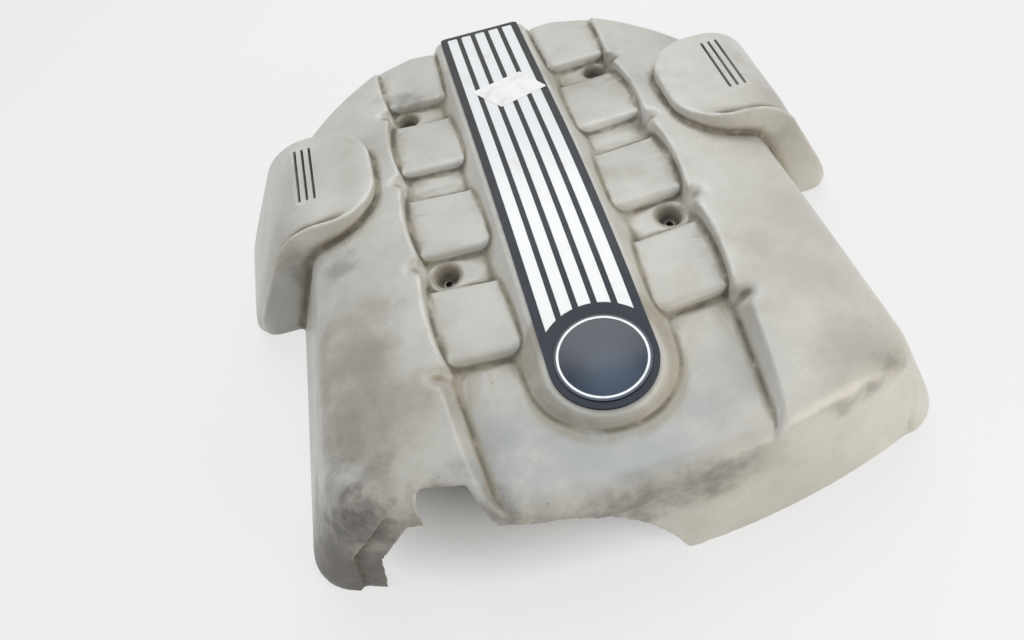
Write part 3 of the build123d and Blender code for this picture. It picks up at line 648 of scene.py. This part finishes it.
enamel, tree, shader, places = new_material("domed dark blue enamel")
drift = use_group(tree, cloud, Vector=places, Scale=40.0, Low=0.3, High=0.7)
tree.links.new(blend(tree, drift, BADGE_BLUE, BADGE_BLUE_PALE), shader.inputs["Base Color"])
shader.inputs["Roughness"].default_value = 0.3
shader.inputs["Specular IOR Level"].default_value = 0.2
shader.inputs["Coat Weight"].default_value = 0.4
shader.inputs["Coat Roughness"].default_value = 0.2
silver, tree, shader, places = new_material("silver-white ring")
drift = use_group(tree, cloud, Vector=places, Scale=90.0, Low=0.4, High=0.75)
tree.links.new(blend(tree, drift, RING_SILVER, RING_DULL), shader.inputs["Base Color"])
shader.inputs["Roughness"].default_value = 0.25
for name, material in (("badge", enamel), ("badge_ring", silver)):
    paint(nodes[name], material)

# Label: what is left of a blank white paper label, stuck slantwise across the bars near the rear.
# It is a thin four-sided sheet that lies on the bars' tops and follows their slope.
LABEL_MIDDLE = (0.008, 0.160)
LABEL_EDGES = (
    ((-0.022, 0.173), (-0.28, 0.96)),
    ((0.036, 0.160), (0.90, 0.43)),
    ((0.007, 0.137), (0.31, -0.95)),
    ((-0.016, 0.148), (-0.86, -0.50)),
)
LABEL_BLANK = 0.1
LABEL_GRID = 60
LABEL_LIFT = 0.00015
LABEL_THICK = 0.00012
PAPER_WHITE = (0.80, 0.80, 0.79)
PAPER_STAINED = (0.70, 0.69, 0.66)

bpy.ops.object.select_all(action="DESELECT")
bpy.ops.mesh.primitive_grid_add(
    x_subdivisions=LABEL_GRID, y_subdivisions=LABEL_GRID, size=LABEL_BLANK, location=(*LABEL_MIDDLE, 0)
)
label = bpy.context.object
label.name = "paper_label"
bpy.ops.object.transform_apply(location=True, rotation=True, scale=True)
bpy.ops.object.mode_set(mode="EDIT")
for place, outwards in LABEL_EDGES:
    bpy.ops.mesh.select_all(action="SELECT")
    bpy.ops.mesh.bisect(plane_co=(*place, 0), plane_no=(*outwards, 0), clear_outer=True)
bpy.ops.object.mode_set(mode="OBJECT")
bar_spots = vertex_places(nodes["stripe_3"].data)
tops = {}
for x, y, z in bar_spots.round(5):
    tops[y] = max(z, tops.get(y, 0))
along = sorted(tops)
sheet = vertex_places(label.data)
sheet[:, 2] = np.interp(sheet[:, 1], along, [tops[y] for y in along]) + LABEL_LIFT
label.data.vertices.foreach_set("co", sheet.ravel())
finish_with(label, "SOLIDIFY", thickness=LABEL_THICK, offset=1)
bpy.ops.object.shade_smooth_by_angle(angle=SMOOTH_ANGLE)
paper, tree, shader, places = new_material("blank label paper")
stain = use_group(tree, cloud, Vector=places, Scale=60.0, Low=0.45, High=0.7)
tree.links.new(blend(tree, stain, PAPER_WHITE, PAPER_STAINED), shader.inputs["Base Color"])
shader.inputs["Roughness"].default_value = 0.7
fibres = use_group(tree, grain, Vector=places, Scale=1500.0)
bump = put(tree, "Bump", {"Strength": 0.2, "Distance": 0.0001, "Height": fibres})
tree.links.new(bump.outputs["Normal"], shader.inputs["Normal"])
paint(label, paper)
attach(label, "root")
